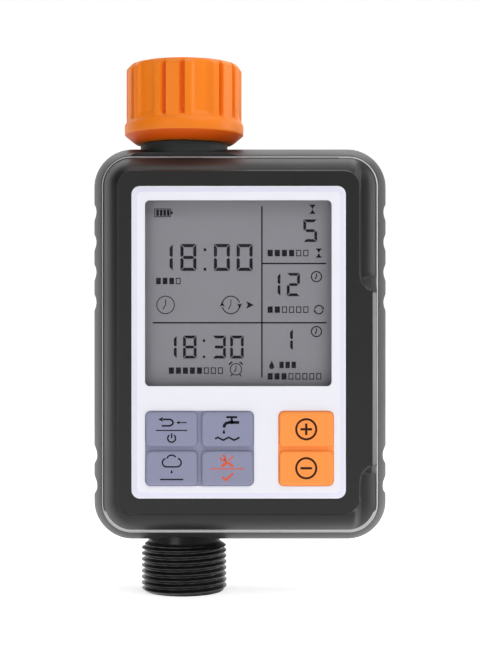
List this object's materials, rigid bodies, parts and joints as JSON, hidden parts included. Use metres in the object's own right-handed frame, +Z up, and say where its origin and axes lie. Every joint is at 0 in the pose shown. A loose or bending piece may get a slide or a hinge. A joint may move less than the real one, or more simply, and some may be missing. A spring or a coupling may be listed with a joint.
{
  "type": "drip irrigation timer",
  "caption": "Tap timer for drip watering: threaded inlet nut, dark casing with a display and soft keys, geared ball valve and a threaded outlet.",
  "frame": {"origin": "centre of the inlet nut's mouth, on the inlet axis", "axes": "+Z up along the inlet, -Y out of the front face, +X to the right seen from the front"},
  "size_m": [0.09, 0.0478, 0.163],
  "materials": {
    "cover_plastic": "fine textured, satin",
    "white_plastic": "satin",
    "clear_lens": "clear, polished",
    "lcd_glass": "satin grey-green display",
    "orange_plastic": "satin moulded",
    "orange_silicone": "matte silicone",
    "lilac_silicone": "matte silicone",
    "black_plastic": "satin moulded",
    "natural_plastic": "natural acetal",
    "seal_rubber": "matte",
    "screw_steel": "plated",
    "pinion_brass": "machined",
    "ball_chrome": "polished",
    "filter_mesh": "woven mesh",
    "board_green": "solder mask",
    "cell_label": "printed sleeve",
    "lead_red": "insulated wire",
    "lead_black": "insulated wire"
  },
  "bodies": {
    "casing": {"front_cover": "cover_plastic", "rear_cover": "cover_plastic", "case_seal": "seal_rubber", "case_screws": "screw_steel", "faceplate": "white_plastic", "display_lens": "clear_lens", "lcd_panel": "lcd_glass", "lcd_frame": "white_plastic", "zebra_strips": "seal_rubber", "main_board": "board_green", "board_components": "black_plastic", "board_screws": "screw_steel", "tact_switches": "black_plastic", "keypad_mat_left": "lilac_silicone", "keypad_mat_right": "orange_silicone", "nut_retaining_ring": "screw_steel", "inlet_washer": "seal_rubber", "inlet_filter": "filter_mesh", "valve_body": "black_plastic", "outlet_spigot": "black_plastic", "outlet_o_ring": "seal_rubber", "upper_seat": "natural_plastic", "lower_seat": "natural_plastic", "valve_screws": "screw_steel", "gearbox_base": "natural_plastic", "gearbox_cover": "natural_plastic", "gearbox_screws": "screw_steel", "gear_shafts": "screw_steel", "motor": "screw_steel", "limit_switches": "black_plastic", "battery_box": "cover_plastic", "batteries": "cell_label", "battery_springs": "screw_steel", "battery_plates": "screw_steel", "motor_leads": "lead_red", "battery_leads": "lead_black"},
    "nut": {"inlet_nut": "orange_plastic"},
    "valve": {"valve_ball": "ball_chrome", "valve_stem": "screw_steel", "stem_o_rings": "seal_rubber", "output_gear": "natural_plastic"},
    "second_gear": {"second_gear": "natural_plastic"},
    "first_gear": {"first_gear": "natural_plastic"},
    "motor_rotor": {"motor_pinion": "pinion_brass", "motor_shaft": "screw_steel"},
    "battery_hatch": {"battery_cover": "cover_plastic", "battery_cover_seal": "seal_rubber"},
    "key_back": {"key_back": "lilac_silicone", "plunger_back": "black_plastic"},
    "key_tap": {"key_tap": "lilac_silicone", "plunger_tap": "black_plastic"},
    "key_rain": {"key_rain": "lilac_silicone", "plunger_rain": "black_plastic"},
    "key_tool": {"key_tool": "lilac_silicone", "plunger_tool": "black_plastic"},
    "key_plus": {"key_plus": "orange_silicone", "plunger_plus": "black_plastic"},
    "key_minus": {"key_minus": "orange_silicone", "plunger_minus": "black_plastic"}
  },
  "joints": [
    {"name": "nut_spin", "type": "hinge", "parent": "casing", "child": "nut", "pos_m": [0, 0, -0.012], "axis": [0, 0, 1], "continuous": true},
    {"name": "valve_turn", "type": "hinge", "parent": "casing", "child": "valve", "pos_m": [0, 0, -0.0665], "axis": [1, 0, 0], "range_deg": [0, 90]},
    {"name": "second_gear_spin", "type": "hinge", "parent": "casing", "child": "second_gear", "pos_m": [0.02, 0.00601, -0.05275], "axis": [1, 0, 0], "range_deg": [-360, 0]},
    {"name": "first_gear_spin", "type": "hinge", "parent": "casing", "child": "first_gear", "pos_m": [0.02, -0.00319, -0.04504], "axis": [1, 0, 0], "range_deg": [0, 1080]},
    {"name": "motor_spin", "type": "hinge", "parent": "casing", "child": "motor_rotor", "pos_m": [0.03, 0.00861, -0.04285], "axis": [1, 0, 0], "range_deg": [-3240, 0]},
    {"name": "battery_hatch_slide", "type": "slide", "parent": "casing", "child": "battery_hatch", "axis": [0, 1, 0], "range_m": [0, 0.03]},
    {"name": "key_back_press", "type": "slide", "parent": "casing", "child": "key_back", "axis": [0, 1, 0], "range_m": [0, 0.0008], "stiffness_N_per_m": 900, "springref_m": -0.0003},
    {"name": "key_tap_press", "type": "slide", "parent": "casing", "child": "key_tap", "axis": [0, 1, 0], "range_m": [0, 0.0008], "stiffness_N_per_m": 900, "springref_m": -0.0003},
    {"name": "key_rain_press", "type": "slide", "parent": "casing", "child": "key_rain", "axis": [0, 1, 0], "range_m": [0, 0.0008], "stiffness_N_per_m": 900, "springref_m": -0.0003},
    {"name": "key_tool_press", "type": "slide", "parent": "casing", "child": "key_tool", "axis": [0, 1, 0], "range_m": [0, 0.0008], "stiffness_N_per_m": 900, "springref_m": -0.0003},
    {"name": "key_plus_press", "type": "slide", "parent": "casing", "child": "key_plus", "axis": [0, 1, 0], "range_m": [0, 0.0008], "stiffness_N_per_m": 900, "springref_m": -0.0003},
    {"name": "key_minus_press", "type": "slide", "parent": "casing", "child": "key_minus", "axis": [0, 1, 0], "range_m": [0, 0.0008], "stiffness_N_per_m": 900, "springref_m": -0.0003}
  ],
  "couplings": [
    {"joint": "second_gear_spin", "follows": "valve_turn", "ratio": -4},
    {"joint": "first_gear_spin", "follows": "valve_turn", "ratio": 12},
    {"joint": "motor_spin", "follows": "valve_turn", "ratio": -36}
  ]
}
